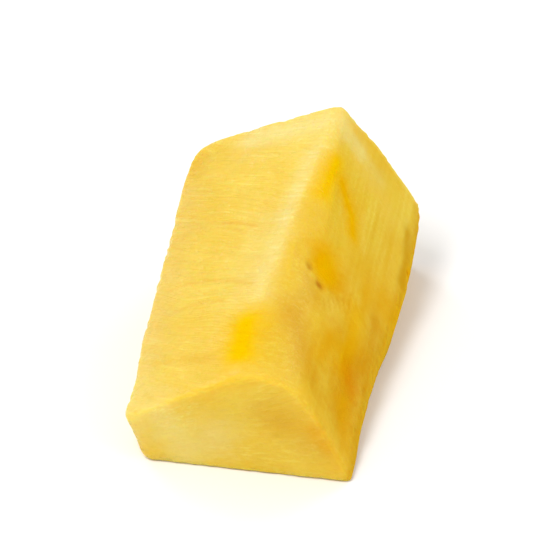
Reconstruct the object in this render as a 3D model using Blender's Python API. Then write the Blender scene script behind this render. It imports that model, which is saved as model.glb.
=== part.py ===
"""A chunk of ripe pineapple, cut by hand from a peeled and cored fruit.

The chunk is what is left between its cuts. The upper cut runs from the core side out to the ridge,
in line with the fruit's axis. The outer cut falls from the ridge, where the skin side was squared
off, down to a strip of the fruit's own round outside. The core side is where the hard core was cut
away. The near and far ends are cuts across the fruit, and the chunk lies on its lower cut.

Each cut is a distance function in millimetres, negative inside the chunk. A grid of quads is pulled
onto the surface where the largest of them is zero, with the edges blunted as a knife leaves them.
"""

import math

import bmesh
import bpy
import numpy as np
from mathutils import Vector, noise

MM = 0.001

# The ridge is the long edge on top, from the near end back to the far end
RIDGE_LENGTH = 52.2
RIDGE_YAW = math.radians(10.7)
RIDGE_PITCH = math.radians(13.0)
RIDGE_HEIGHT = 20.5  # of its near end, above the surface that the chunk lies on

# The two long cuts that meet in the ridge
UPPER_WIDTH = 26.6
UPPER_FALL = math.radians(30.1)
OUTER_WIDTH = 21.8
OUTER_FALL = math.radians(62.1)
UPPER_CROWN = 0.5  # how far the middle of each cut stands proud of a flat one
OUTER_CROWN = 0.7

# The fruit's axis runs parallel to the ridge, a little above the plane of the upper cut
AXIS_TO_RIDGE = 44.0
AXIS_RISE = 9.0
FLESH_RADIUS = math.hypot(AXIS_TO_RIDGE, OUTER_WIDTH + AXIS_RISE)
SWELL = 0.8  # how far the outside stands past the flesh radius, and falls short of it
SWELL_LENGTH = 60.0
SWELL_PEAK = 0.78  # its place along the ridge, from the near end

# The core side leans in under the upper cut, and is cut a little hollow
CORE_LEAN = math.radians(14.0)
CORE_HOLLOW = 0.8

# The near end is cut closer to upright than the far end
NEAR_LEAN = math.radians(4.0)

# How round each edge is
RIDGE_ROUND_FAR, RIDGE_ROUND_NEAR = 1.6, 8.0
FAR_LEFT_ROUND = 3.2
NEAR_LEFT_ROUND = 2.6
END_ROUND = 1.3
SIDE_ROUND = 1.5
BASE_ROUND = 1.4

# Relief that the knife and the fibres leave
WAVE_LENGTHS = (13.0, 5.5)
WAVE_HEIGHTS = (0.45, 0.22)
RELIEF_FADE = 2.5  # the relief dies away over this height, so that the lower cut is flat

# Shallow hollows of opened fruitlets in the outer cut: distance back from the far end, distance
# below the ridge, half length along the ridge, half width and depth
HOLLOWS = (
    (29.0, 3.6, 3.4, 2.4, 0.75),
    (17.0, 5.0, 5.0, 2.2, 0.35),
    (38.0, 16.0, 4.2, 3.4, 0.55),
)
HOLLOW_REACH = 2.5  # how far from the flat of the outer cut a hollow still counts

# Cells of the grid across, along and up the chunk, about 1.3 mm each
CELLS = (20, 40, 17)
OUTER_CELLS = 12  # of the cells up the chunk, those above the outer cut's lower edge
RELAX_ROUNDS = 8
PULL_STEPS = 4
PROBE = 0.01  # step for measuring slopes

# The middle of the footprint's box, which becomes the origin
FOOTPRINT_MIDDLE = (-0.412, 29.626)

FLESH_COLOUR = (0.90, 0.62, 0.10, 1.0)
FLESH_ROUGHNESS = 0.36


def unit(vector):
    return vector / np.linalg.norm(vector)


ALONG = np.array(
    (
        math.sin(RIDGE_YAW) * math.cos(RIDGE_PITCH),
        math.cos(RIDGE_YAW) * math.cos(RIDGE_PITCH),
        math.sin(RIDGE_PITCH),
    )
)
RIGHT = np.array((math.cos(RIDGE_YAW), -math.sin(RIDGE_YAW), 0.0))
UPWARD = np.cross(RIGHT, ALONG)
TO_CORE = -math.cos(UPPER_FALL) * RIGHT - math.sin(UPPER_FALL) * UPWARD
DOWN_OUTER = math.cos(OUTER_FALL) * RIGHT - math.sin(OUTER_FALL) * UPWARD
UPPER_NORMAL = unit(np.cross(ALONG, TO_CORE))
OUTER_NORMAL = unit(np.cross(DOWN_OUTER, ALONG))
DOWN = np.array((0.0, 0.0, -1.0))
NEAR_NORMAL = unit(-ALONG * (1, 1, 0)) * math.cos(NEAR_LEAN) + DOWN * math.sin(NEAR_LEAN)
CORE_NORMAL = -RIGHT * math.cos(CORE_LEAN) - UPWARD * math.sin(CORE_LEAN)

RIDGE_NEAR = np.array((0.0, 0.0, RIDGE_HEIGHT))
RIDGE_FAR = RIDGE_NEAR + ALONG * RIDGE_LENGTH
LEFT_NEAR = RIDGE_NEAR + TO_CORE * UPPER_WIDTH
FRUIT_AXIS = RIDGE_NEAR + TO_CORE * AXIS_TO_RIDGE + UPPER_NORMAL * AXIS_RISE
END_CUTS = {False: (RIDGE_NEAR, NEAR_NORMAL), True: (RIDGE_FAR, ALONG)}  # near, far


def smooth_step(value):
    value = np.clip(value, 0.0, 1.0)
    return value * value * (3 - 2 * value)


def blunted(first, second, radius):
    """Where both distances are negative, with the edge between the two rounded to this radius."""
    past = np.hypot(np.maximum(first + radius, 0), np.maximum(second + radius, 0))
    return np.minimum(np.maximum(first, second), -radius) + past


def from_axis(points):
    """Distance from the fruit's axis."""
    arm = points - FRUIT_AXIS
    return np.linalg.norm(arm - np.outer(arm @ ALONG, ALONG), axis=1)


def crown(value, height):
    """A low arch over a cut, highest in its middle, where value is 0.5."""
    return height * (1 - (2 * np.clip(value, 0, 1) - 1) ** 2)


def chunk_distance(points):
    """Signed distance to the chunk's surface, without its relief."""
    from_ridge = points - RIDGE_NEAR
    along = from_ridge @ ALONG
    toward_core = from_ridge @ TO_CORE / UPPER_WIDTH
    down_outer = from_ridge @ DOWN_OUTER / OUTER_WIDTH
    upper = from_ridge @ UPPER_NORMAL - crown(toward_core, UPPER_CROWN)
    outer = from_ridge @ OUTER_NORMAL - crown(down_outer, OUTER_CROWN)
    near = from_ridge @ NEAR_NORMAL
    far = (points - RIDGE_FAR) @ ALONG
    below_left = (LEFT_NEAR - points) @ UPWARD / RIDGE_HEIGHT
    core_side = (points - LEFT_NEAR) @ CORE_NORMAL + crown(below_left, CORE_HOLLOW)
    swell = SWELL * np.cos(2 * math.pi * (along - SWELL_PEAK * RIDGE_LENGTH) / SWELL_LENGTH)
    skin_side = from_axis(points) - FLESH_RADIUS - swell
    base = -points[:, 2]

    ridge_round = RIDGE_ROUND_NEAR + (RIDGE_ROUND_FAR - RIDGE_ROUND_NEAR) * smooth_step(
        along / RIDGE_LENGTH
    )
    long_cuts = blunted(upper, outer, ridge_round)
    long_cuts = blunted(long_cuts, skin_side, SIDE_ROUND)
    left_far = blunted(core_side, far, FAR_LEFT_ROUND)
    left_and_ends = blunted(left_far, near, NEAR_LEFT_ROUND)
    return blunted(blunted(long_cuts, left_and_ends, END_ROUND), base, BASE_ROUND)


def outward(points):
    """The way the surface faces at each point, and how fast the distance grows that way."""
    slope = np.empty_like(points)
    for axis in range(3):
        step = np.zeros(3)
        step[axis] = PROBE
        slope[:, axis] = chunk_distance(points + step) - chunk_distance(points - step)
    slope /= 2 * PROBE
    return slope


def pulled(points):
    """The points moved onto the surface, each along its own slope."""
    for _ in range(PULL_STEPS):
        slope = outward(points)
        size = np.sum(slope * slope, axis=1)
        points = points - slope * (chunk_distance(points) / size)[:, None]
    return points


def at_end(point, far):
    """Where the line through a point, in line with the fruit, meets that end's cut."""
    start, normal = END_CUTS[far]
    return point + ALONG * ((start - point) @ normal) / (ALONG @ normal)


def fallen(point, far):
    """The point on the lower cut that lies below a point of an end's cut, in the same cut."""
    normal = END_CUTS[far][1]
    way = DOWN - normal * (DOWN @ normal)
    return point - way * point[2] / way[2]


def rough_box(right, back, up):
    """A point of the box that the grid starts from. The shares run from 0 to 1."""
    place = np.zeros(3)
    for far, share in ((False, 1 - back), (True, back)):
        ridge = at_end(RIDGE_NEAR, far)
        left = at_end(LEFT_NEAR, far)
        edge = at_end(RIDGE_NEAR + DOWN_OUTER * OUTER_WIDTH, far)
        low_left = fallen(left, far) + RIGHT * left[2] * math.tan(CORE_LEAN)
        low_right = fallen(edge, far)
        edge_up = 1 - OUTER_CELLS / CELLS[2]
        if up > edge_up:
            right_side = edge + (ridge - edge) * (up - edge_up) / (1 - edge_up)
        else:
            right_side = low_right + (edge - low_right) * up / edge_up
        left_side = low_left + (left - low_left) * up
        place += share * (left_side + (right_side - left_side) * right)
    return place


def start_grid():
    """A box of quads around the chunk."""
    bm = bmesh.new()
    bmesh.ops.create_cube(bm, size=1.0)
    for axis, cells in enumerate(CELLS):
        runs = [e for e in bm.edges if abs(e.verts[0].co[axis] - e.verts[1].co[axis]) > 0.5]
        bmesh.ops.subdivide_edges(bm, edges=runs, cuts=cells - 1, use_grid_fill=True)
    for vertex in bm.verts:
        vertex.co = rough_box(*(value + 0.5 for value in vertex.co))
    return bm


def relaxed(points, edges):
    """The points spread evenly over the surface: each moves half way to its neighbours' middle."""
    first, second = edges[:, 0], edges[:, 1]
    count = np.bincount(edges.ravel(), minlength=len(points))[:, None]
    for _ in range(RELAX_ROUNDS):
        total = np.zeros_like(points)
        np.add.at(total, first, points[second])
        np.add.at(total, second, points[first])
        points = pulled((points + total / count) / 2)
    return points


def relief_at(point):
    """How far the surface stands out of its smooth form, in millimetres."""
    height = 0.0
    for length, size in zip(WAVE_LENGTHS, WAVE_HEIGHTS):
        height += size * noise.noise(Vector(point / length))
    from_far = point - RIDGE_FAR
    for back, below, length, width, depth in HOLLOWS:
        if abs(from_far @ OUTER_NORMAL) > HOLLOW_REACH:
            continue
        gone = ((-from_far @ ALONG - back) / length) ** 2
        gone += ((from_far @ DOWN_OUTER - below) / width) ** 2
        height -= depth * math.exp(-gone)
    return height * float(smooth_step(point[2] / RELIEF_FADE))


def flesh_material():
    material = bpy.data.materials.new("pineapple_flesh")
    material.use_nodes = True
    shader = material.node_tree.nodes["Principled BSDF"]
    shader.inputs["Base Color"].default_value = FLESH_COLOUR
    shader.inputs["Roughness"].default_value = FLESH_ROUGHNESS
    shader.inputs["Metallic"].default_value = 0.0
    shader.inputs["Subsurface Weight"].default_value = 0.3
    return material


def pineapple_chunk():
    bm = start_grid()
    points = np.array([vertex.co for vertex in bm.verts])
    edges = np.array([[vertex.index for vertex in edge.verts] for edge in bm.edges])
    points = relaxed(pulled(points), edges)
    facing = outward(points)
    facing /= np.linalg.norm(facing, axis=1)[:, None]
    points += facing * np.array([relief_at(point) for point in points])[:, None]
    points[:, 2] = np.maximum(points[:, 2], 0)
    points[:, :2] -= FOOTPRINT_MIDDLE
    for vertex, point in zip(bm.verts, points * MM):
        vertex.co = point
    bmesh.ops.recalc_face_normals(bm, faces=bm.faces)
    mesh = bpy.data.meshes.new("pineapple_chunk")
    bm.to_mesh(mesh)
    bm.free()
    mesh.materials.append(flesh_material())
    mesh.shade_smooth()
    chunk = bpy.data.objects.new("pineapple_chunk", mesh)
    bpy.context.scene.collection.objects.link(chunk)


def clear_scene():
    for thing in list(bpy.data.objects):
        bpy.data.objects.remove(thing, do_unlink=True)


clear_scene()
pineapple_chunk()
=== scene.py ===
# %% [markdown]
# # A chunk of ripe pineapple
#
# This notebook dresses one hand-cut chunk of pineapple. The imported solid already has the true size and
# the true cuts. What it lacks is the flesh: the fibres that run from core to skin, the small opened
# fruitlets, the colours that change from cream to gold, and the wet, slightly see-through look.
#
# Every code cell is short, and each one prints what it made. Lengths are in millimetres until a mesh
# is written, because a cook would measure a chunk that way.

# %% Open the frame
import math

import bmesh
import bpy
import numpy as np
from mathutils import Matrix, Vector, noise
from mathutils.bvhtree import BVHTree


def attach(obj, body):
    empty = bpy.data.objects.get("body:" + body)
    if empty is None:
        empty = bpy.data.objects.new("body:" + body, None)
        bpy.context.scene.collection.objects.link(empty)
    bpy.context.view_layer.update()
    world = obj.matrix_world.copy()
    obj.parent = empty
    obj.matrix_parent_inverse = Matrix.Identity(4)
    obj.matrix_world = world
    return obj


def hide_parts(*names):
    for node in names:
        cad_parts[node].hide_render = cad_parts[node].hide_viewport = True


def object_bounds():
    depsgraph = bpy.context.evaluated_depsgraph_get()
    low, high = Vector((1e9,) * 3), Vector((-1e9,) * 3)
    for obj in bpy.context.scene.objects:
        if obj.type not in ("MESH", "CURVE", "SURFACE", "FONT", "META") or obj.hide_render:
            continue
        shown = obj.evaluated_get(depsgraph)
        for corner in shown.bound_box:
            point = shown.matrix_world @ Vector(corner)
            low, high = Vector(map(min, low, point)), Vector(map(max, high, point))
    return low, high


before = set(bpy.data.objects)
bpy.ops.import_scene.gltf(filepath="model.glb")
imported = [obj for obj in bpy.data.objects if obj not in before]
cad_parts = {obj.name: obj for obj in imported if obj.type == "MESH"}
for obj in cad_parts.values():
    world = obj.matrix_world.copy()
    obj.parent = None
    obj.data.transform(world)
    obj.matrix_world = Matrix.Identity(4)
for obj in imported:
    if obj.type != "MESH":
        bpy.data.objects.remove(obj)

MM = 0.001
cad_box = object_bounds()
print("solid, mm:", [round((high - low) / MM, 1) for low, high in zip(*cad_box)])

# %% [markdown]
# ## The cuts
#
# A chunk has no profile to revolve and no path to sweep. It is what the knife left. So it is described
# the way it was made: by its cuts. The ridge on top is where two long cuts meet. The upper cut slopes
# down to the core side, and the outer cut falls steeply on the skin side. These values are the same
# ones that the solid was made from, so the dressed chunk lies exactly in its place.

# %% Name the cuts
RIDGE_LENGTH = 52.2
RIDGE_YAW = math.radians(10.7)
RIDGE_PITCH = math.radians(13.0)
RIDGE_HEIGHT = 20.5  # of its near end, above the surface that the chunk lies on
UPPER_WIDTH = 26.6
UPPER_FALL = math.radians(30.1)
OUTER_WIDTH = 21.8
OUTER_FALL = math.radians(62.1)
UPPER_CROWN = 0.5  # how far the middle of each cut stands proud of a flat one
OUTER_CROWN = 0.7
AXIS_TO_RIDGE = 44.0
AXIS_RISE = 9.0  # how far the skin's middle lies above the plane of the upper cut
FLESH_RADIUS = math.hypot(AXIS_TO_RIDGE, OUTER_WIDTH + AXIS_RISE)
SWELL = 0.8  # how far the outside stands past the flesh radius, and falls short of it
SWELL_LENGTH = 60.0
SWELL_PEAK = 0.78  # its place along the ridge, from the near end
CORE_LEAN = math.radians(14.0)  # the core side leans in under the upper cut
CORE_HOLLOW = 0.8
NEAR_LEAN = math.radians(4.0)
FOOTPRINT_MIDDLE = np.array((-0.412, 29.626, 0.0))  # this point becomes the origin


def unit(vector):
    return vector / np.linalg.norm(vector)


ALONG = np.array(
    (
        math.sin(RIDGE_YAW) * math.cos(RIDGE_PITCH),
        math.cos(RIDGE_YAW) * math.cos(RIDGE_PITCH),
        math.sin(RIDGE_PITCH),
    )
)
RIGHT = np.array((math.cos(RIDGE_YAW), -math.sin(RIDGE_YAW), 0.0))
UPWARD = np.cross(RIGHT, ALONG)
DOWN = np.array((0.0, 0.0, -1.0))
TO_CORE = -math.cos(UPPER_FALL) * RIGHT - math.sin(UPPER_FALL) * UPWARD
DOWN_OUTER = math.cos(OUTER_FALL) * RIGHT - math.sin(OUTER_FALL) * UPWARD
UPPER_NORMAL = unit(np.cross(ALONG, TO_CORE))
OUTER_NORMAL = unit(np.cross(DOWN_OUTER, ALONG))
NEAR_NORMAL = unit(-ALONG * (1, 1, 0)) * math.cos(NEAR_LEAN) + DOWN * math.sin(NEAR_LEAN)
CORE_NORMAL = -RIGHT * math.cos(CORE_LEAN) - UPWARD * math.sin(CORE_LEAN)
RIDGE_NEAR = np.array((0.0, 0.0, RIDGE_HEIGHT))
RIDGE_FAR = RIDGE_NEAR + ALONG * RIDGE_LENGTH
LEFT_NEAR = RIDGE_NEAR + TO_CORE * UPPER_WIDTH
SKIN_CENTRE = RIDGE_NEAR + TO_CORE * AXIS_TO_RIDGE + UPPER_NORMAL * AXIS_RISE
END_CUTS = {False: (RIDGE_NEAR, NEAR_NORMAL), True: (RIDGE_FAR, ALONG)}  # near, far
print("the two long cuts meet at", round(math.degrees(math.acos(-TO_CORE @ -DOWN_OUTER))), "degrees")

# %% [markdown]
# ## One distance for the whole chunk
#
# Each cut gives every point in space a distance: negative on the fruit's side, positive on the side
# that fell away. The largest of them is negative only inside the chunk. A bevel would round each edge
# by the same amount, but a knife edge in soft fruit is crisp at one end and worn at the other, so two
# distances are joined by a rounding whose radius may change along the edge.

# %% Measure the distance to the chunk
RIDGE_ROUND_FAR, RIDGE_ROUND_NEAR = 1.6, 8.0
FAR_LEFT_ROUND = 3.2
NEAR_LEFT_ROUND = 2.2
END_ROUND = 0.55
SIDE_ROUND = 0.7
BASE_ROUND = 0.8


def smooth_step(value):
    value = np.clip(value, 0.0, 1.0)
    return value * value * (3 - 2 * value)


def blunted(first, second, radius):
    """Negative where both distances are, with the edge between the two rounded to this radius."""
    past = np.hypot(np.maximum(first + radius, 0), np.maximum(second + radius, 0))
    return np.minimum(np.maximum(first, second), -radius) + past


def crown(value, height):
    """A low arch over a cut, highest in its middle, where value is 0.5."""
    return height * (1 - (2 * np.clip(value, 0, 1) - 1) ** 2)


def cut_distances(points):
    """Signed distances to the upper, outer, skin, core, near, far and lower cuts."""
    from_ridge = points - RIDGE_NEAR
    along = from_ridge @ ALONG
    upper = from_ridge @ UPPER_NORMAL - crown(from_ridge @ TO_CORE / UPPER_WIDTH, UPPER_CROWN)
    outer = from_ridge @ OUTER_NORMAL - crown(from_ridge @ DOWN_OUTER / OUTER_WIDTH, OUTER_CROWN)
    arm = points - SKIN_CENTRE
    radius = np.linalg.norm(arm - np.outer(arm @ ALONG, ALONG), axis=1)
    swell = SWELL * np.cos(2 * math.pi * (along - SWELL_PEAK * RIDGE_LENGTH) / SWELL_LENGTH)
    skin = radius - FLESH_RADIUS - swell
    below_left = (LEFT_NEAR - points) @ UPWARD / RIDGE_HEIGHT
    core = (points - LEFT_NEAR) @ CORE_NORMAL + crown(below_left, CORE_HOLLOW)
    near = from_ridge @ NEAR_NORMAL
    far = (points - RIDGE_FAR) @ ALONG
    return upper, outer, skin, core, near, far, -points[:, 2]


def chunk_distance(points):
    """Signed distance to the chunk's smooth surface."""
    upper, outer, skin, core, near, far, base = cut_distances(points)
    back = smooth_step((points - RIDGE_NEAR) @ ALONG / RIDGE_LENGTH)
    ridge_round = RIDGE_ROUND_NEAR + (RIDGE_ROUND_FAR - RIDGE_ROUND_NEAR) * back
    long_cuts = blunted(blunted(upper, outer, ridge_round), skin, SIDE_ROUND)
    left_and_ends = blunted(blunted(core, far, FAR_LEFT_ROUND), near, NEAR_LEFT_ROUND)
    return blunted(blunted(long_cuts, left_and_ends, END_ROUND), base, BASE_ROUND)


def outward(points, probe=0.01):
    """The slope of the distance, which points straight out of the surface."""
    slope = np.empty_like(points)
    for axis in range(3):
        step = np.zeros(3)
        step[axis] = probe
        slope[:, axis] = (chunk_distance(points + step) - chunk_distance(points - step)) / (2 * probe)
    return slope


def pulled(points, steps=4):
    """The points moved onto the surface, each along its own slope."""
    for _ in range(steps):
        slope = outward(points)
        points = points - slope * (chunk_distance(points) / np.sum(slope * slope, axis=1))[:, None]
    return points


CHUNK_MIDDLE = np.array([[0.0, 28.0, 12.0]])
middle_depth = -float(chunk_distance(CHUNK_MIDDLE)[0])
print("the middle of the chunk is", round(middle_depth, 1), "mm deep")

# %% [markdown]
# ## A grid that follows the cuts
#
# A remeshed block would give points with no order. A box of quads, bent so that its edges lie on the
# chunk's edges, keeps clean rows that follow the fruit. It starts coarse, is pulled onto the surface
# and evened out, and then every quad is split in sixteen and pulled again, to about a third of a
# millimetre. That is fine enough to carry the fibres as real relief.

# %% Make the grid
COARSE_CELLS = (24, 49, 21)  # across, back and up
OUTER_SHARE = 0.7  # the part of the right side's rows that lies on the outer cut
RELAX_ROUNDS = 8
FINE_CUTS = 3


def at_end(point, far):
    """Where the line through a point, in line with the fruit, meets that end's cut."""
    start, normal = END_CUTS[far]
    return point + ALONG * ((start - point) @ normal) / (ALONG @ normal)


def fallen(point, far):
    """The point on the lower cut that lies below a point of an end's cut, in the same cut."""
    normal = END_CUTS[far][1]
    way = DOWN - normal * (DOWN @ normal)
    return point - way * point[2] / way[2]


def bent_box(shares):
    """Points of a box round the chunk, from their shares across, back and up."""
    across, back, up = shares.T
    place = np.zeros(shares.shape)
    for far, share in ((False, 1 - back), (True, back)):
        left = at_end(LEFT_NEAR, far)
        edge = at_end(RIDGE_NEAR + DOWN_OUTER * OUTER_WIDTH, far)
        low_left = fallen(left, far) + RIGHT * left[2] * math.tan(CORE_LEAN)
        right_side = (fallen(edge, far), edge, at_end(RIDGE_NEAR, far))
        levels = (0, 1 - OUTER_SHARE, 1)
        for axis in range(3):
            left_line = low_left[axis] + (left - low_left)[axis] * up
            right_line = np.interp(up, levels, [corner[axis] for corner in right_side])
            place[:, axis] += share * (left_line + (right_line - left_line) * across)
    return place


def relaxed(points, edges):
    """The points spread evenly: each moves half way to the middle of its neighbours."""
    first, second = edges[:, 0], edges[:, 1]
    count = np.bincount(edges.ravel(), minlength=len(points))[:, None]
    for _ in range(RELAX_ROUNDS):
        total = np.zeros_like(points)
        np.add.at(total, first, points[second])
        np.add.at(total, second, points[first])
        points = pulled((points + total / count) / 2, steps=2)
    return points


def points_of(mesh_like):
    return np.array([vertex.co for vertex in mesh_like.verts])


def move_to(mesh_like, points):
    for vertex, point in zip(mesh_like.verts, points):
        vertex.co = point


grid = bmesh.new()
bmesh.ops.create_cube(grid, size=1.0)
for axis, cells in enumerate(COARSE_CELLS):
    runs = [e for e in grid.edges if abs(e.verts[0].co[axis] - e.verts[1].co[axis]) > 0.5]
    bmesh.ops.subdivide_edges(grid, edges=runs, cuts=cells - 1, use_grid_fill=True)
grid_edges = np.array([[vertex.index for vertex in edge.verts] for edge in grid.edges])
move_to(grid, relaxed(pulled(bent_box(points_of(grid) + 0.5)), grid_edges))
bmesh.ops.subdivide_edges(grid, edges=grid.edges[:], cuts=FINE_CUTS, use_grid_fill=True)
bmesh.ops.recalc_face_normals(grid, faces=grid.faces[:])
smooth_points = pulled(points_of(grid))
largest_miss = float(np.abs(chunk_distance(smooth_points)).max())
print(len(grid.faces), "quads, largest gap from the surface, mm:", round(largest_miss, 5))

# %% [markdown]
# ## The fruit's own directions
#
# Pineapple flesh has a grain. Fibres leave the core and run outwards, and they climb a little towards
# the crown on the way. So three numbers say where a point is in the fruit: its distance from the
# axis, its place along the axis, and its place round it. On the upper cut a fibre then shows as a long
# line, on an end cut as a spoke, and on the outer cut as a dot. One rule gives all three.

# %% Place points in the fruit
FRUIT_AXIS = RIDGE_NEAR + TO_CORE * AXIS_TO_RIDGE
FIBRE_CLIMB = 0.34  # how far a fibre moves along the axis for each step outwards
FIBRE_BOW = 0.006  # and how much it bends on the way
BOW_RADIUS = 30.0  # the distance from the axis at which it climbs by just that much
FIBRE_WANDER, WANDER_LENGTH = 1.3, 22.0  # no fibre is quite straight
ROUND_RADIUS = 36.0  # the radius at which a turn round the axis is measured


def noise_of(*columns):
    """Blender's gradient noise at each row of these coordinates, from -1 to 1."""
    return np.array([noise.noise(Vector(row)) for row in np.stack(columns, axis=1)])


def in_fruit(points):
    """Distance from the axis, place along it with the fibres' climb taken out, and place round it."""
    arm = points - FRUIT_AXIS
    outwards, upwards = arm @ -TO_CORE, arm @ UPPER_NORMAL
    radius = np.hypot(outwards, upwards)
    climb = FIBRE_CLIMB * radius - FIBRE_BOW * (radius - BOW_RADIUS) ** 2
    climb += FIBRE_WANDER * noise_of(*(points / WANDER_LENGTH).T)
    return radius, arm @ ALONG + climb, np.arctan2(upwards, outwards) * ROUND_RADIUS


radius, along_fibre, turn = in_fruit(smooth_points)
innermost, outermost = float(radius.min()), float(radius.max())
print("the flesh lies", round(innermost, 1), "to", round(outermost, 1), "mm from the axis")

# %% [markdown]
# ## Finding a place by eye
#
# Marks such as a pit or a yellow patch sit where the camera saw them. A pixel of the picture is a line
# through space, from the eye into the scene. This helper walks down that line until it meets the
# chunk, so each mark is stated by its pixel and still lies on the fruit, from whatever side one looks.

# %% Walk from a pixel to the surface
PIXELS_PER_MM = 2.5
RIDGE_NEAR_PIXEL = (306.0, 316.0)
LOOK_DOWN = math.radians(35)
TO_EYE = np.array((0.0, -math.cos(LOOK_DOWN), math.sin(LOOK_DOWN)))
PICTURE_UP = np.array((0.0, math.sin(LOOK_DOWN), math.cos(LOOK_DOWN)))
PICTURE_RIGHT = np.array((1.0, 0.0, 0.0))
WALK_STEPS = 80
WALK_CAUTION = 0.7  # the share of the distance taken in one step, forwards or back
EYE_START = 60.0  # how far towards the eye a walk starts
SIDE_START = 90.0  # and how far out to a side


def walked(points, way):
    """Where walks from these points, all in one direction, meet the chunk."""
    for _ in range(WALK_STEPS):
        points = points + way * (WALK_CAUTION * chunk_distance(points))[:, None]
    return points


def seen_at(pixels):
    """The points of the chunk that show at these pixels."""
    offset = (np.asarray(pixels, float) - RIDGE_NEAR_PIXEL) / PIXELS_PER_MM
    points = RIDGE_NEAR + np.outer(offset[:, 0], PICTURE_RIGHT) - np.outer(offset[:, 1], PICTURE_UP)
    return walked(points + TO_EYE * EYE_START, -TO_EYE)


# The way that one looks from each side
SIDES = {"left": (1, 0, 0), "right": (-1, 0, 0), "front": (0, 1, 0), "behind": (0, -1, 0)}


def met_from(side, places):
    """The points met from a side, each given by its place across that side and its height."""
    way = np.array(SIDES[side], float)
    points = np.tile(way * -SIDE_START, (len(places), 1))
    points[:, 1 if way[0] else 0] = [across for across, _ in places]
    points[:, 2] = [up for _, up in places]
    return walked(points, way)


def far_from_line(points, line):
    """Each point's distance from a bent line."""
    best = np.full(len(points), np.inf)
    for start, end in zip(line[:-1], line[1:]):
        run = end - start
        share = np.clip((points - start) @ run / (run @ run), 0, 1)
        best = np.minimum(best, np.linalg.norm(points - start - np.outer(share, run), axis=1))
    return best


RIDGE_FAR_PIXEL = (329.0, 224.0)
print("the far end of the ridge is at", seen_at([RIDGE_FAR_PIXEL])[0].round(1))

# %% [markdown]
# ## Relief
#
# The solid already holds the broad waves that a knife leaves and the shallow hollows where fruitlets
# were opened. They are repeated here from the same numbers. The finer part is new: ribs a few
# millimetres apart along the fibres, a fine grain on top of them, long strands down the outer cut, and
# nicks where an edge is thin. A bump map would be lighter, but it leaves the outline smooth.

# %% Raise the fibres and press the hollows
WAVE_LENGTHS = (13.0, 5.5)
WAVE_HEIGHTS = (0.45, 0.22)
RELIEF_FADE = 2.5
# Each hollow: mm back from the far end, mm below the ridge, half length, half width and depth
HOLLOWS = (
    (29.0, 3.6, 3.4, 2.4, 0.75),
    (17.0, 5.0, 5.0, 2.2, 0.35),
    (38.0, 16.0, 4.2, 3.4, 0.55),
)
HOLLOW_REACH = 2.5  # how far from the flat of the outer cut a hollow still counts
RIB_SPACING, RIB_HEIGHT = 2.6, 0.07
STRAND_SPACING, STRAND_HEIGHT = 0.7, 0.035
STRAND_LENGTH = 11.0
GRAIN_SPACING, GRAIN_HEIGHT = 0.9, 0.045
GRAIN_SHIFT = 9  # takes the grain from another part of the noise than the ribs
FIBRE_LENGTH = 13.0
NICK_SPACING, NICK_DEPTH = 1.1, 0.35
WIDE_NICK = 3  # some nicks are this many times wider
EDGE_REACH = 0.8
FINE_FADE = 0.6
OUTER_BLEND = 1.5  # how deep below the outer cut its own texture still shows


def broad_relief(points):
    """The waves and hollows that the solid has too."""
    height = sum(
        size * noise_of(*(points / length).T) for length, size in zip(WAVE_LENGTHS, WAVE_HEIGHTS)
    )
    from_far = points - RIDGE_FAR
    back, below = -from_far @ ALONG, from_far @ DOWN_OUTER
    on_outer = np.abs(from_far @ OUTER_NORMAL) < HOLLOW_REACH
    for place, depth_below, length, width, depth in HOLLOWS:
        gone = ((back - place) / length) ** 2 + ((below - depth_below) / width) ** 2
        height -= on_outer * depth * np.exp(-gone)
    return height * smooth_step(points[:, 2] / RELIEF_FADE)


def edge_share(points):
    """1 on an edge between two cuts, falling to 0 away from it."""
    second = np.sort(np.stack(cut_distances(points)), axis=0)[-2]
    return np.exp(-((second / EDGE_REACH) ** 2))


ribs = noise_of(radius / FIBRE_LENGTH, along_fibre / RIB_SPACING, turn / RIB_SPACING)
grain_length = radius / FIBRE_LENGTH + GRAIN_SHIFT
grain = noise_of(grain_length, along_fibre / GRAIN_SPACING, turn / GRAIN_SPACING)
nicks = noise_of(*(smooth_points / NICK_SPACING).T)
nicks = nicks + noise_of(*(smooth_points / (WIDE_NICK * NICK_SPACING)).T)
edges_here = edge_share(smooth_points)
upper_cut, outer_cut, skin_cut, _, _, far_cut, _ = cut_distances(smooth_points)
strand_place = (smooth_points - RIDGE_NEAR) @ np.column_stack((ALONG, DOWN_OUTER, OUTER_NORMAL))
strands = noise_of(*(strand_place / (STRAND_LENGTH, STRAND_SPACING, STRAND_SPACING)).T)
on_outer_side = smooth_step(1 + outer_cut / OUTER_BLEND)
fine_relief = RIB_HEIGHT * ribs + GRAIN_HEIGHT * grain - NICK_DEPTH * edges_here * np.maximum(nicks, 0)
fine_relief += STRAND_HEIGHT * on_outer_side * strands
fine_relief *= smooth_step(smooth_points[:, 2] / FINE_FADE)
height = broad_relief(smooth_points) + fine_relief
print("relief from", round(float(height.min()), 2), "to", round(float(height.max()), 2), "mm")

# %% [markdown]
# ## Colours of the flesh
#
# What makes a chunk look like pineapple is not an even yellow. The flesh is cream near the ridge,
# deep yellow where juice gathers, and amber low on the skin side. A shader counts in linear light, but
# the colours are named as a paint program shows them and turned into linear light once.
# Part of the cream near the ridge and of the amber low on the skin side is painted sheen and shade.

# %% Name the colours of the flesh
def colour(red, green, blue):
    """A colour as a paint program shows it, as the linear values that a shader needs."""
    shown = np.array((red, green, blue)) / 255
    return np.where(shown <= 0.04045, shown / 12.92, ((shown + 0.055) / 1.055) ** 2.4)


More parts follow.
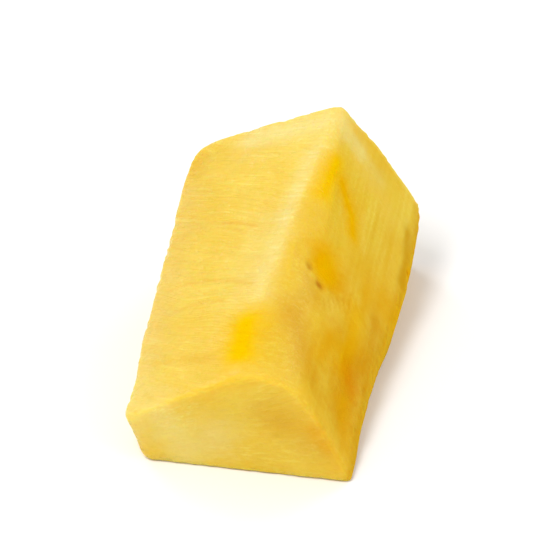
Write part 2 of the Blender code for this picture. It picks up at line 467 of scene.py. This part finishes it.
CREAM = colour(245, 225, 133)
PALE = colour(241, 204, 70)
BUTTER = colour(245, 205, 78)
GOLD = colour(232, 182, 20)
HONEY = colour(214, 144, 0)
DEEP_YELLOW = colour(245, 197, 0)
MARIGOLD = colour(240, 180, 0)
AMBER = colour(232, 166, 0)
ORANGE = colour(224, 134, 0)
OLIVE = colour(208, 150, 0)
BROWN = colour(176, 74, 0)
PALER = np.array((1.06, 1.2, 1.8))  # what a pale thread does to the colour round it
DEEPER = np.array((0.95, 0.82, 0.4))  # and what a juicy one does
print("pale flesh in linear light:", PALE.round(2))

# %% [markdown]
# ## The first colour
#
# The flesh is palest near the core and turns to gold, and then to honey, towards the skin. A gradient
# laid over each side could show that, but not where two sides meet. Here the tint of a point follows
# from its place in the fruit, so every cut shows its own part of the change. Soft clouds keep it
# uneven. A cut edge is made paler, a painted highlight that the nicks break up. On the outer cut the
# gold is partly painted shade and warm bounce light, and the far end, which lies in shade, gets a
# gold tinge of painted warm bounce light.

# %% Lay the first colour
# The flesh turns from pale to gold, and to honey, between these distances from the axis. On the
# outer cut the gold is partly painted shade and warm bounce light.
GOLD_START, GOLD_END = 43.5, 45.5
HONEY_START, HONEY_END = 45.0, 53.0
SKIN_TINT, SKIN_TINT_DEPTH = 0.8, 1.8
# Painted warm bounce light: how strongly, and how deep into the far cut, the shaded far end turns gold
FAR_WARM_BOUNCE, FAR_WARM_BOUNCE_DEPTH = 0.35, 1.0
# Painted highlight: the cream line along the far edges, its strength and half width in mm
FAR_RIM_HIGHLIGHT, FAR_RIM_HIGHLIGHT_WIDTH = 0.75, 0.7
# Painted highlight along the cut edges
EDGE_HIGHLIGHT = 0.5
STRAND_CONTRAST = 0.45
CLOUD_SIZE, CLOUD_CONTRAST = 7.0, 0.55
CLOUD_SHIFT = 5  # takes the clouds from another part of the noise than the relief
from_ridge = smooth_points - RIDGE_NEAR
outwards = AXIS_TO_RIDGE - from_ridge @ TO_CORE
to_gold = smooth_step((outwards - GOLD_START) / (GOLD_END - GOLD_START))
to_honey = smooth_step((outwards - HONEY_START) / (HONEY_END - HONEY_START))
to_skin = smooth_step(1 + skin_cut / SKIN_TINT_DEPTH)
clouds = noise_of(*(smooth_points / CLOUD_SIZE + CLOUD_SHIFT).T)
tint = np.tile(PALE, (len(smooth_points), 1))


def tinge(share, paint_colour):
    """Moves the colour of every point a share of the way to another."""
    tint[:] += share[:, None] * (paint_colour - tint)


def lighten(share):
    """Makes every point paler where the share is positive, and deeper where it is negative."""
    paler = np.maximum(share, 0)[:, None] * (PALER - 1)
    deeper = np.maximum(-share, 0)[:, None] * (DEEPER - 1)
    tint[:] *= 1 + paler + deeper


# Gold towards the skin: flesh colour, and on the outer cut partly painted shade and warm bounce light
tinge(to_gold, GOLD)
tinge(to_honey, HONEY)
lighten(-CLOUD_CONTRAST * clouds)
tinge(SKIN_TINT * to_skin, OLIVE)
lighten(STRAND_CONTRAST * strands * on_outer_side)
# Painted warm bounce light: the shaded far end is tinged gold
tinge(FAR_WARM_BOUNCE * smooth_step(1 + far_cut / FAR_WARM_BOUNCE_DEPTH), GOLD)
# Painted highlight: a thin cream line along the far edges
from_far_edge = np.hypot(np.maximum(upper_cut, outer_cut), far_cut)
tinge(FAR_RIM_HIGHLIGHT * np.exp(-((from_far_edge / FAR_RIM_HIGHLIGHT_WIDTH) ** 2)), CREAM)
# Painted highlight: the cut edges are made paler, in stretches broken up by the nicks
frayed_edge_highlight = edges_here * smooth_step(0.5 + nicks) * smooth_step(smooth_points[:, 2] / RELIEF_FADE)
lighten(EDGE_HIGHLIGHT * frayed_edge_highlight)
print("cut outwards, the flesh ends", round(float(outwards.max()), 1), "mm from the axis")

# %% [markdown]
# ## Marks that the camera sees
#
# Streaks, pockets of juice and the opened fruitlet lie where the knife happened to cut, so no rule
# gives their places. They are painted as one would with a soft brush: a colour, a width, a strength,
# and the pixels that the brush passes. Where a mark is also a hollow in the real flesh, it has a depth
# as well, and a hollow that a knife opened has a steeper edge than a stain has. Some strokes are
# painted light: a sheen on the rounded ridge, and shade on the ridge's lower part, along the front
# edge, under the fruitlet and low on the outer cut.

# %% Name the marks
YELLOW_PATCH = ((294, 301), (292, 311))
OPENED_FRUITLET = ((323.9, 278.6), (324.4, 281), (325.1, 283.5))
UPPER_PIT = ((317.5, 279.2), (317.9, 280.0))
LOWER_PIT = ((321.2, 286.5), (321.6, 287.0))
# The path of the ridge's band, which is paler flesh with a painted sheen
RIDGE_BAND = ((322, 236), (317, 243), (311, 257), (308, 267), (304, 277), (301, 284), (300, 290))
MIDDLE_FIBRE = ((265, 290.6), (272, 287.4), (280, 285.5), (288, 285.5), (297, 287))
SOFT, CRISP, CUT = 2.0, 2.8, 3.4  # how steep the edge of a mark is
# Each mark: colour, half width in mm, strength, depth in mm, steepness, pixels
MARKS = {
    "pale far corner": (CREAM, 3.0, 0.85, 0.0, SOFT, ((298, 233), (310, 230.5), (319, 229), (328, 226))),
    # Paler flesh with a painted sheen where the rounded ridge catches the light
    "pale flesh and painted sheen on the ridge": (CREAM, 2.1, 0.65, -0.04, SOFT, RIDGE_BAND),
    # Painted sheen, wider and fainter, left of the ridge
    "painted sheen left of the band": (CREAM, 3.8, 0.30, 0.0, SOFT, ((301, 264), (299, 276), (295, 290))),
    # Painted shade where the rounded ridge turns away from the lamp, partly over gold flesh
    "gold and painted shade right of the band": (GOLD, 2.4, 0.25, 0.0, SOFT, ((317, 262), (313, 276), (310, 286))),
    # Painted shade on the lower end of the rounded ridge
    "painted shade on the ridge end": (HONEY, 2.8, 0.50, 0.0, SOFT, ((312, 297), (314, 304), (316, 312), (319, 320))),
    "yellow patch": (DEEP_YELLOW, 3.5, 1.00, 0.12, CRISP, YELLOW_PATCH),
    # Painted contact shade: a deeper strip along the front edge, over a shallow pressed groove
    "painted contact shade at the front": (GOLD, 1.0, 0.50, 0.04, SOFT, ((262, 315), (272, 314), (282, 313))),
    "gold left side": (GOLD, 3.2, 0.72, 0.0, SOFT, ((276, 243), (269, 268), (261, 296), (257, 314))),
    "gold left edge": (GOLD, 2.4, 0.40, 0.0, SOFT, ((264, 294), (261, 304), (259, 313))),
    # Painted shade on the ridge's rounding beside the yellow patch, partly over gold flesh
    "gold and painted shade beside the patch": (GOLD, 2.2, 0.35, 0.0, SOFT, ((304, 305), (305, 312))),
    "upper fibre": (AMBER, 0.32, 0.40, 0.03, SOFT, ((286, 264.5), (291, 264.2), (298, 265.5))),
    "middle fibre": (AMBER, 0.32, 0.32, 0.03, SOFT, MIDDLE_FIBRE),
    "lower fibre": (AMBER, 0.32, 0.25, 0.03, SOFT, ((267, 298), (276, 294.5), (286, 293))),
    "yellow streak": (DEEP_YELLOW, 1.9, 1.00, 0.05, SOFT, ((328, 242), (325, 248), (322.5, 253.5))),
    "amber streak": (MARIGOLD, 1.5, 1.00, 0.03, SOFT, ((330, 250), (331.5, 256), (333, 262), (333, 269))),
    "pale below the far corner": (BUTTER, 2.4, 0.60, 0.0, SOFT, ((336, 243), (342, 252), (346, 260))),
    "pale top of the far edge": (CREAM, 1.5, 0.60, 0.0, SOFT, ((332.5, 231), (337, 238))),
    "pale foot of the far edge": (CREAM, 1.6, 0.25, 0.0, SOFT, ((337, 239), (344, 249))),
    # Partly painted shade and warm bounce light: the middle of the outer cut is deepened, over amber
    # flesh
    "amber and painted shade in the middle": (AMBER, 4.5, 0.50, 0.0, SOFT, ((338, 282), (341, 294))),
    "amber right side": (AMBER, 3.0, 0.45, 0.0, SOFT, ((347, 272), (345, 296))),
    "olive stripe": (OLIVE, 1.1, 0.70, 0.0, SOFT, ((353.4, 268), (353.2, 277), (351.5, 286))),
    "pale thread": (BUTTER, 0.9, 0.45, 0.0, SOFT, ((337, 262), (337, 274))),
    "opened fruitlet": (MARIGOLD, 3.3, 1.00, 0.22, CUT, OPENED_FRUITLET),
    "lip of the fruitlet": (HONEY, 1.5, 0.30, -0.03, SOFT, ((316.8, 284), (318.6, 289), (321, 293))),
    "pale below the fruitlet": (BUTTER, 1.8, 0.45, 0.0, SOFT, ((326, 295), (325, 300))),
    # Painted shade under the opened fruitlet
    "painted shade under the fruitlet": (HONEY, 2.6, 0.25, 0.0, SOFT, ((316, 290), (328, 289))),
    # Painted shade low on the outer cut, partly over honey flesh
    "honey and painted shade low down": (HONEY, 4.6, 0.80, 0.0, SOFT, ((333, 313), (329, 332))),
    # Painted shade along the right edge of the outer cut
    "painted shade at the right edge": (HONEY, 2.2, 0.60, 0.0, SOFT, ((342, 301), (337, 318))),
    "amber hollow": (AMBER, 2.2, 0.75, 0.03, SOFT, ((325, 306), (322.5, 312))),
    "marigold low down": (MARIGOLD, 2.4, 0.70, 0.0, SOFT, ((334, 299), (333, 308), (330, 315))),
    "orange spot": (ORANGE, 2.2, 0.65, 0.0, SOFT, ((332, 319), (333, 325))),
    "short amber streak": (AMBER, 1.5, 0.50, 0.03, SOFT, ((338, 291), (337, 299))),
    # Painted shade at the foot of the outer cut, partly over amber flesh
    "amber and painted shade at the foot": (AMBER, 2.6, 0.60, 0.0, SOFT, ((330, 330), (330, 344))),
    "orange beside the fruitlet": (ORANGE, 2.6, 0.16, 0.0, SOFT, ((331, 287), (330, 293))),
    "upper pit": (BROWN, 0.60, 0.48, 0.08, SOFT, UPPER_PIT),
    "lower pit": (BROWN, 0.65, 0.72, 0.08, SOFT, LOWER_PIT),
}
print(len(MARKS), "marks named")

# %% Paint them
RIB_WOBBLE, GRAIN_WOBBLE = 0.25, 0.2  # how far the ribs and the grain move the edge of a mark


def near_line(line, width, steepness=SOFT):
    """1 on a line, falling to 0 away from it, with an edge that follows the grain."""
    wobble = 1 + RIB_WOBBLE * ribs + GRAIN_WOBBLE * grain
    return np.exp(-((far_from_line(smooth_points, line) * wobble / width) ** steepness))


def paint(tint, height, paint_colour, width, strength, depth, steepness, line):
    """One stroke of the brush, which may press the flesh in too."""
    share = near_line(line, width, steepness)
    tint += (strength * share)[:, None] * (paint_colour - tint)
    height -= depth * share


for *brush, pixels in MARKS.values():
    paint(tint, height, *brush, seen_at(pixels))
print("relief with the marks, mm:", round(float(height.min()), 2), "to", round(float(height.max()), 2))

# %% [markdown]
# ## Marks on the other sides
#
# These sides are turned away from the camera, so no pixel leads to them. Their marks are the usual
# ones of the fruit: small opened fruitlets with a dark slit towards the skin, and paler flesh towards
# the core. The brush is the same, but a place is given as one would measure it on the chunk, in
# millimetres across the side and up.

# %% Paint the other sides
# Each wash: colour, half width in mm, strength, side, places
WASHES = {
    "pale core side": (CREAM, 5.0, 0.6, "left", ((8, 7), (48, 14))),
    "pale edge of the far end": (CREAM, 3.5, 0.6, "behind", ((-14, 18), (-9, 6))),
    "pale edge of the near end": (CREAM, 3.0, 0.6, "front", ((-17, 9), (-13, 3))),
    "yellow on the far end": (DEEP_YELLOW, 3.0, 0.5, "behind", ((2, 22), (7, 12))),
    "honey on the near end": (HONEY, 3.0, 0.3, "front", ((-2, 12), (5, 6))),
    "amber on the near end": (AMBER, 1.2, 0.5, "front", ((5, 9), (7, 6))),
    "amber on the skin side": (AMBER, 2.6, 0.5, "right", ((30, 10), (34, 5))),
}
# Each opened fruitlet: side, upper place, lower place, half width in mm
OPENED = {
    "large one on the far end": ("behind", (14.0, 19.5), (15.0, 16.5), 1.3),
    "small one on the far end": ("behind", (9.0, 9.5), (8.4, 8.0), 0.9),
    "one on the skin side": ("right", (41.0, 7.5), (41.5, 5.5), 1.4),
}
OPENED_BRUSH = (0.8, 0.16, 3.0)  # strength, depth in mm, steepness
SLIT_BRUSH = (0.6, 0.16, SOFT)
SLIT_WIDTH = 0.25  # as a share of the fruitlet's
SLIT_ENDS = np.array(((-0.25, 0.6), (0.1, 0.0)))  # from the upper place, as shares of the width
for *brush, side, places in WASHES.values():
    paint(tint, height, *brush, 0.0, SOFT, met_from(side, places))
for side, upper_place, lower_place, width in OPENED.values():
    paint(tint, height, AMBER, width, *OPENED_BRUSH, met_from(side, (upper_place, lower_place)))
    slit = met_from(side, upper_place + width * SLIT_ENDS)
    paint(tint, height, BROWN, SLIT_WIDTH * width, *SLIT_BRUSH, slit)
print(len(WASHES), "washes and", len(OPENED), "opened fruitlets on the other sides")

# %% [markdown]
# ## Torn and bared fibres
#
# Below the opened fruitlet the knife left a row of small steps, and near the far edge it bared the
# fibres. The steps are few, so each is a short stroke of the brush. Strokes would turn the bared
# fibres into an even grid, so there the strands that the flesh already has are only made stronger.

# %% Comb the small steps below the opened fruitlet
COMB_PIXELS = ((322.5, 291.5), (331.5, 292.5))  # the upper ends of the first and the last tooth
COMB_TEETH = 6
TOOTH_REACH = (0.4, 4.5)  # pixels from a tooth's upper end to its lower one
TOOTH_BRUSH = (HONEY, 0.22, 0.25, 0.06, SOFT)
for tooth_pixel in np.linspace(*COMB_PIXELS, COMB_TEETH):
    paint(tint, height, *TOOTH_BRUSH, seen_at((tooth_pixel, tooth_pixel + TOOTH_REACH)))
print(COMB_TEETH, "teeth in the comb")

# %% Bare the fibres near the far edge
BARE_LINE = ((341, 262), (341, 274))
BARE_WIDTH, BARE_CONTRAST = 3.4, 0.7
BARE_HEIGHT = 2 * STRAND_HEIGHT
bare_share = near_line(seen_at(BARE_LINE), BARE_WIDTH) * on_outer_side
lighten(BARE_CONTRAST * strands * bare_share)
height += BARE_HEIGHT * strands * bare_share
print("fibres bared on", int((bare_share > 0.5).sum()), "points")

# %% [markdown]
# ## The mesh of the flesh
#
# The heights move each point straight out of the surface, and the lower cut stays flat to rest on. The
# tints go along as a colour layer on the points. A second layer says how much of the juice film lies
# there. The outer cut, the skin side, the yellow patch and the opened fruitlet are left dry, because a
# film on them would mirror the pale floor and wash their deep colours out.

# %% Build the flesh
# Each dry place: pixels, half width in mm
DRY_PLACES = ((YELLOW_PATCH, 3.5), (OPENED_FRUITLET, 4.0), (UPPER_PIT, 1.6), (LOWER_PIT, 1.6))
facing = outward(smooth_points)
facing /= np.linalg.norm(facing, axis=1)[:, None]
flesh_points = smooth_points + facing * height[:, None]
flesh_points[:, 2] = np.maximum(flesh_points[:, 2], 0)
move_to(grid, (flesh_points - FOOTPRINT_MIDDLE) * MM)
flesh_mesh = bpy.data.meshes.new("pineapple_flesh")
grid.to_mesh(flesh_mesh)
grid.free()
flesh_mesh.shade_smooth()
tint_layer = flesh_mesh.color_attributes.new("flesh_tint", "FLOAT_COLOR", "POINT")
tint_layer.data.foreach_set("color", np.column_stack((tint, np.ones(len(tint)))).ravel())
film = (1 - on_outer_side) * (1 - to_skin)
for dry_pixels, dry_width in DRY_PLACES:
    film *= 1 - near_line(seen_at(dry_pixels), dry_width, CRISP)
film_layer = flesh_mesh.attributes.new("flesh_film", "FLOAT", "POINT")
film_layer.data.foreach_set("value", film.astype(np.float32))
flesh = bpy.data.objects.new("pineapple_flesh", flesh_mesh)
bpy.context.scene.collection.objects.link(flesh)
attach(flesh, "root")
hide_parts("pineapple_chunk")
print("wet flesh on", int((film > 0.5).sum()), "of", len(film), "points")

# %% Measure how close it lies to the solid
CHECK_EVERY = 20  # every so many points is enough
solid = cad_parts["pineapple_chunk"]
solid_tree = BVHTree.FromPolygons(
    [vertex.co for vertex in solid.data.vertices], [face.vertices for face in solid.data.polygons]
)
checked = list(flesh_mesh.vertices)[::CHECK_EVERY]
gaps = [solid_tree.find_nearest(vertex.co)[3] for vertex in checked]
print("largest gap between flesh and solid, mm:", round(max(gaps) / MM, 2))

# %% [markdown]
# ## The look of wet flesh
#
# Three things make fruit look like fruit. Light goes in and comes out again a few millimetres away,
# which softens every shadow and turns it orange. A film of juice gives small sharp highlights over a
# soft surface. And the grain shows as fine paler and darker threads. The nodes work in the fruit's own
# directions, so the threads turn from lines to spokes to dots as the cuts turn.

# %% A short way to write nodes
material = bpy.data.materials.new("pineapple_flesh")
material.use_nodes = True
tree = material.node_tree
tree.nodes.clear()


def put(kind, inputs=None, **settings):
    """Adds a node, sets its settings, and fills or links its inputs by name or number."""
    made = tree.nodes.new(kind)
    for name, value in settings.items():
        setattr(made, name, value)
    for name, value in (inputs or {}).items():
        if isinstance(value, bpy.types.NodeSocket):
            tree.links.new(value, made.inputs[name])
        else:
            made.inputs[name].default_value = value
    return made


def calc(operation, *values):
    return put("ShaderNodeMath", dict(enumerate(values)), operation=operation).outputs[0]


def spread(value, low, high, new_low=0.0, new_high=1.0):
    """The value's stretch from low to high, spread smoothly over a new one."""
    inputs = {0: value, 1: low, 2: high, 3: new_low, 4: new_high}
    return put("ShaderNodeMapRange", inputs, interpolation_type="SMOOTHSTEP").outputs[0]


def mixed(share, first, second, blend_type="MIX"):
    inputs = {0: share, 6: first, 7: second}
    return put("ShaderNodeMix", inputs, data_type="RGBA", blend_type=blend_type).outputs[2]


def rgba(linear):
    return (*(float(part) for part in linear), 1.0)


def threads(length, spacing, detail=3.0, roughness=0.6):
    """Noise drawn out along the fibres, with its length and spacing in mm."""
    place = put("ShaderNodeCombineXYZ", {
        0: calc("DIVIDE", node_radius, length),
        1: calc("DIVIDE", node_along, spacing),
        2: calc("DIVIDE", node_turn, spacing),
    }).outputs[0]
    inputs = {"Vector": place, "Scale": 1.0, "Detail": detail, "Roughness": roughness}
    return put("ShaderNodeTexNoise", inputs).outputs["Fac"]


def even_noise(scale, detail):
    """Noise that is the same in every direction of the fruit."""
    inputs = {"Vector": to_fruit.outputs[0], "Scale": scale, "Detail": detail}
    return put("ShaderNodeTexNoise", inputs).outputs["Fac"]


print("node helpers ready")

# %% Carry the fruit's directions into the nodes
NODE_NOISE_SPAN = 4  # the node's noise runs from 0 to 1 and keeps near its middle
axes = Matrix(np.array((-TO_CORE, ALONG, UPPER_NORMAL)).T.tolist())
axis_place = (FRUIT_AXIS - FOOTPRINT_MIDDLE) * MM
coordinates = put("ShaderNodeTexCoord")
to_fruit = put(
    "ShaderNodeMapping",
    {0: coordinates.outputs["Object"], 1: axis_place.tolist(), 2: axes.to_euler(), 3: (MM, MM, MM)},
    vector_type="TEXTURE",
)
parts = put("ShaderNodeSeparateXYZ", {0: to_fruit.outputs[0]}).outputs
node_radius = calc("SQRT", calc("ADD", calc("POWER", parts[0], 2.0), calc("POWER", parts[2], 2.0)))
bow = calc("MULTIPLY", calc("POWER", calc("SUBTRACT", node_radius, BOW_RADIUS), 2.0), FIBRE_BOW)
climb = calc("SUBTRACT", calc("MULTIPLY", node_radius, FIBRE_CLIMB), bow)
wander = calc("SUBTRACT", even_noise(1 / WANDER_LENGTH, 1.0), 0.5)
wander = calc("MULTIPLY", wander, NODE_NOISE_SPAN * FIBRE_WANDER)
node_along = calc("ADD", calc("ADD", parts[1], climb), wander)
node_turn = calc("MULTIPLY", calc("ARCTAN2", parts[2], parts[0]), ROUND_RADIUS)
print("the axis lies at", [round(value / MM, 1) for value in axis_place], "mm")

# %% Mix the colour and the shine
SHADOW_GOLD = colour(240, 178, 30)
REFLECTANCE = 0.86  # part of the light goes through the flesh and doesn't come back
COARSE_THREADS, FINE_THREADS, FINEST_THREADS = (30.0, 2.4), (14.0, 0.55), (7.0, 0.28)
PATCH_NOISE, CELL_NOISE = (0.12, 1.0), (0.9, 3.0)  # scale and detail
# Each range: the value where a change starts and where it is full, and the results there
SHADOW_RANGE = (0.48, 0.78, 0.0, 0.12)
CREAM_RANGE = (0.48, 0.66, 0.0, 0.62)
CREAM_PATCH_RANGE = (0.40, 0.6, 0.15, 1.0)
CREAM_FILM_RANGE = (0.0, 1.0, 0.5, 1.0)
HONEY_RANGE = (0.50, 0.75, 0.0, 0.07)
GOLD_RANGE = (0.55, 0.75, 0.0, 0.15)
ROUGHNESS_RANGE = (0.35, 0.7, 0.22, 0.42)
SHINE_RANGE = (0.0, 1.0, 0.0, 0.3)
CELL_BUMP = 0.7
painted = put("ShaderNodeVertexColor", layer_name="flesh_tint").outputs["Color"]
film_share = put("ShaderNodeAttribute", attribute_name="flesh_film").outputs["Fac"]
coarse = threads(*COARSE_THREADS)
fine = threads(*FINE_THREADS)
finest = threads(*FINEST_THREADS, detail=2.0)
patches = even_noise(*PATCH_NOISE)
cells = even_noise(*CELL_NOISE)
flesh_colour = mixed(spread(coarse, *SHADOW_RANGE), painted, rgba(SHADOW_GOLD))
thread_colour = mixed(1.0, painted, rgba(PALER), "MULTIPLY")
cream_share = calc("MULTIPLY", spread(fine, *CREAM_RANGE), spread(patches, *CREAM_PATCH_RANGE))
cream_share = calc("MULTIPLY", cream_share, spread(film_share, *CREAM_FILM_RANGE))
flesh_colour = mixed(cream_share, flesh_colour, thread_colour)
flesh_colour = mixed(spread(finest, *HONEY_RANGE), flesh_colour, rgba(HONEY))
flesh_colour = mixed(spread(cells, *GOLD_RANGE), flesh_colour, rgba(GOLD))
flesh_colour = mixed(1.0, flesh_colour, (REFLECTANCE, REFLECTANCE, REFLECTANCE, 1.0), "MULTIPLY")
roughness = spread(cells, *ROUGHNESS_RANGE)
shine = spread(film_share, *SHINE_RANGE)
print("colour mixed from", len(tree.nodes), "nodes")

# %% Set the film and the depth of the light
bump_height = calc("ADD", calc("ADD", fine, finest), calc("MULTIPLY", cells, CELL_BUMP))
bump = put("ShaderNodeBump", {"Strength": 0.5, "Distance": 0.25 * MM, "Height": bump_height}).outputs[0]
flesh_shader = put("ShaderNodeBsdfPrincipled", {
    "Base Color": flesh_colour,
    "Roughness": roughness,
    "IOR": 1.33,
    "Specular IOR Level": shine,
    "Specular Tint": (1.0, 0.85, 0.3, 1.0),
    "Normal": bump,
    "Subsurface Weight": 0.7,
    "Subsurface Radius": (1.0, 0.55, 0.14),
    "Subsurface Scale": 3 * MM,
}, subsurface_method="RANDOM_WALK")
put("ShaderNodeOutputMaterial", {0: flesh_shader.outputs[0]})
flesh_mesh.materials.append(material)
print(len(tree.nodes), "nodes in the flesh")

# %% [markdown]
# ## The studio
#
# The chunk lies on a plain pale floor in a soft white room. A large lamp above and to the left lights
# the upper cut, and a weaker one keeps the outer cut from going dull. Two more stand behind the chunk
# and light its far edges. One small strong lamp would be simpler, but its hard shadows make fruit look
# dry.

# %% Lay the floor and light the room
FLOOR_SIZE = 3.0
FLOOR_COLOUR = (0.95, 0.95, 0.95, 1.0)
FLOOR_ROUGHNESS = 0.7
ROOM_COLOUR = (1.0, 1.0, 1.0, 1.0)
ROOM_STRENGTH = 0.5
floor_mesh = bpy.data.meshes.new("floor")
floor_bm = bmesh.new()
bmesh.ops.create_grid(floor_bm, x_segments=1, y_segments=1, size=FLOOR_SIZE / 2)
floor_bm.to_mesh(floor_mesh)
floor_bm.free()
floor = bpy.data.objects.new("floor", floor_mesh)
bpy.context.scene.collection.objects.link(floor)
floor_material = bpy.data.materials.new("pale_floor")
floor_material.use_nodes = True
floor_shader = floor_material.node_tree.nodes["Principled BSDF"]
floor_shader.inputs["Base Color"].default_value = FLOOR_COLOUR
floor_shader.inputs["Roughness"].default_value = FLOOR_ROUGHNESS
floor_mesh.materials.append(floor_material)

room = bpy.data.worlds.new("white_room")
bpy.context.scene.world = room
room.use_nodes = True
room_light = room.node_tree.nodes["Background"]
room_light.inputs["Color"].default_value = ROOM_COLOUR
room_light.inputs["Strength"].default_value = ROOM_STRENGTH
print("floor", FLOOR_SIZE, "m across in a white room")

# %% Place the lamps
# Each lamp: place in metres, side in metres, power in watts
LAMPS = {
    "key_lamp": ((-0.24, -0.30, 0.60), 0.30, 3.0),
    "fill_lamp": ((0.50, -0.30, 0.30), 0.35, 0.8),
    "back_left_lamp": ((-0.36, 0.42, 0.32), 0.22, 0.9),
    "back_right_lamp": ((0.40, 0.45, 0.35), 0.30, 1.0),
}
LAMP_AIM = Vector((0, 0, 0.015))


def add_lamp(name, place, size, power):
    data = bpy.data.lights.new(name, "AREA")
    data.shape = "SQUARE"
    data.size = size
    data.energy = power
    made = bpy.data.objects.new(name, data)
    made.location = place
    made.rotation_euler = (LAMP_AIM - Vector(place)).to_track_quat("-Z", "Y").to_euler()
    bpy.context.scene.collection.objects.link(made)


for lamp_name, lamp_settings in LAMPS.items():
    add_lamp(lamp_name, *lamp_settings)
bpy.context.scene.view_settings.view_transform = "Standard"
print(len(LAMPS), "lamps")

# %% [markdown]
# ## The camera
#
# The camera looks down at 35 degrees, as one looks at a plate. A wide lens close by would make the near
# end bulge. A long lens from far away keeps parallel cuts parallel, so the shape reads true.

# %% Set the camera
LENS = 600.0
SENSOR = 36.0
CHUNK_SHARE = 0.68  # of the picture's height
CHUNK_TALL = 0.0545  # how tall the chunk looks from here, in metres
CLIP_START, CLIP_END = 0.02, 20.0
camera_data = bpy.data.cameras.new("camera")
camera_data.lens = LENS
camera_data.sensor_width = SENSOR
camera = bpy.data.objects.new("camera", camera_data)
distance = CHUNK_TALL / CHUNK_SHARE * LENS / SENSOR
target = (Vector(cad_box[0]) + Vector(cad_box[1])) / 2
camera.location = target + Vector(TO_EYE) * distance
camera.rotation_euler = (-Vector(TO_EYE)).to_track_quat("-Z", "Y").to_euler()
camera_data.clip_start = CLIP_START
camera_data.clip_end = CLIP_END
bpy.context.scene.collection.objects.link(camera)
bpy.context.scene.camera = camera
print("camera", round(distance, 2), "m away")
